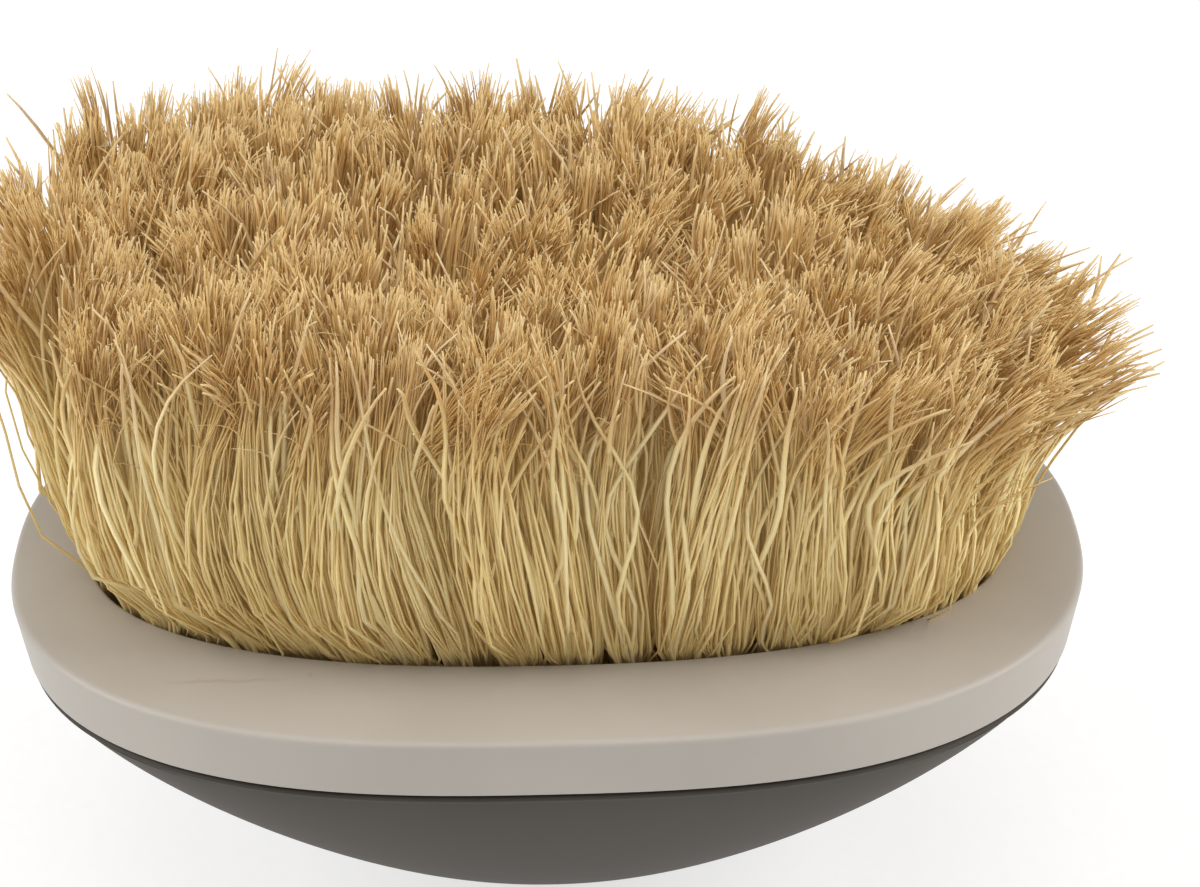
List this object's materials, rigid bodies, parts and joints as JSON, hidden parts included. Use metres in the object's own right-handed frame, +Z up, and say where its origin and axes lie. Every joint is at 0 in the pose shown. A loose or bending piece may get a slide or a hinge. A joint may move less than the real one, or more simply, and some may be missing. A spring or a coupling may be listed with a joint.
{
  "type": "body dry brush",
  "caption": "Oval palm brush with dense natural-fibre bristles set in a pale rim frame, and a domed soft-touch grip on its back, for dry brushing the skin.",
  "frame": {"origin": "middle of the small flat on the crown of the grip, which is the lowest point; the middle of the brush in plan", "axes": "+Z up from the grip's crown through the bristles, +X along the length towards the worn end, +Y across the width"},
  "size_m": [0.115, 0.08, 0.0822],
  "materials": {
    "cream_plastic": "satin",
    "grip_elastomer": "matte",
    "shell_plastic": "matte",
    "beech_block": "matte",
    "plant_fibre": "matte",
    "staple_steel": "satin",
    "screw_steel": "satin"
  },
  "bodies": {
    "root": {"rim_frame": "cream_plastic", "tuft_block": "beech_block", "back_shell": "shell_plastic", "grip_cover": "grip_elastomer", "case_screws": "screw_steel", "bristle_ring_1": "plant_fibre", "bristle_ring_2": "plant_fibre", "bristle_ring_3": "plant_fibre", "bristle_ring_4": "plant_fibre", "bristle_ring_5": "plant_fibre", "anchor_ring_1": "staple_steel", "anchor_ring_2": "staple_steel", "anchor_ring_3": "staple_steel", "anchor_ring_4": "staple_steel", "anchor_ring_5": "staple_steel"}
  },
  "joints": []
}
